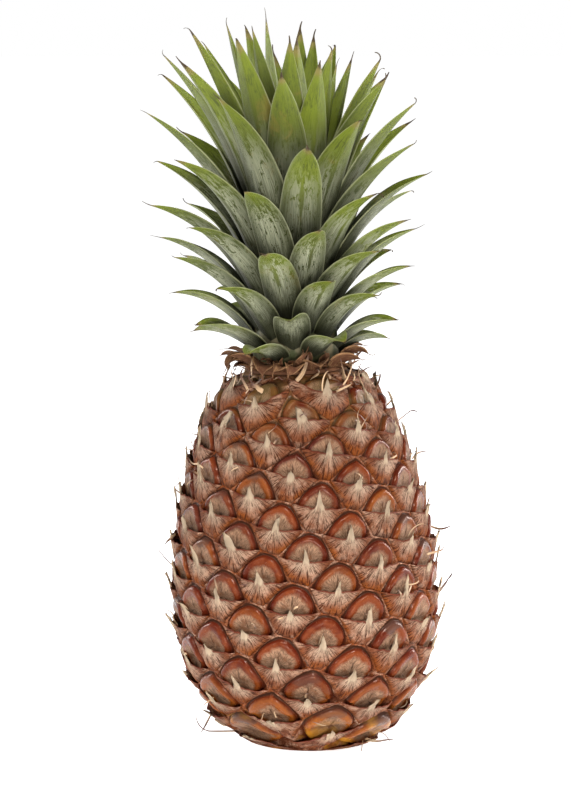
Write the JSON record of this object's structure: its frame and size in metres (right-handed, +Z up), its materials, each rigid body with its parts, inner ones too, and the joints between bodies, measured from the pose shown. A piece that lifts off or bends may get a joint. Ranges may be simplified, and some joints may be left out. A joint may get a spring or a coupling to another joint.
{
  "type": "pineapple",
  "caption": "Whole pineapple standing on its cut base: egg-shaped fruit with spiral rows of eyes and dry bracts, under a crown of channelled, pointed leaves.",
  "frame": {"origin": "middle of the flat base that the fruit stands on", "axes": "+Z up through the fruit towards the crown, -Y towards the side seen in the picture, +X to the right in it"},
  "size_m": [0.1432, 0.1404, 0.34],
  "materials": {
    "fruit": "glossy red-brown caps under dry papery bracts",
    "dry_collar": "dry, matte, dark brown",
    "crown": "waxy grey-green with a pale bloom"
  },
  "bodies": {
    "root": {"fruit": "fruit", "dry_collar": "dry_collar", "crown": "crown"}
  },
  "joints": []
}
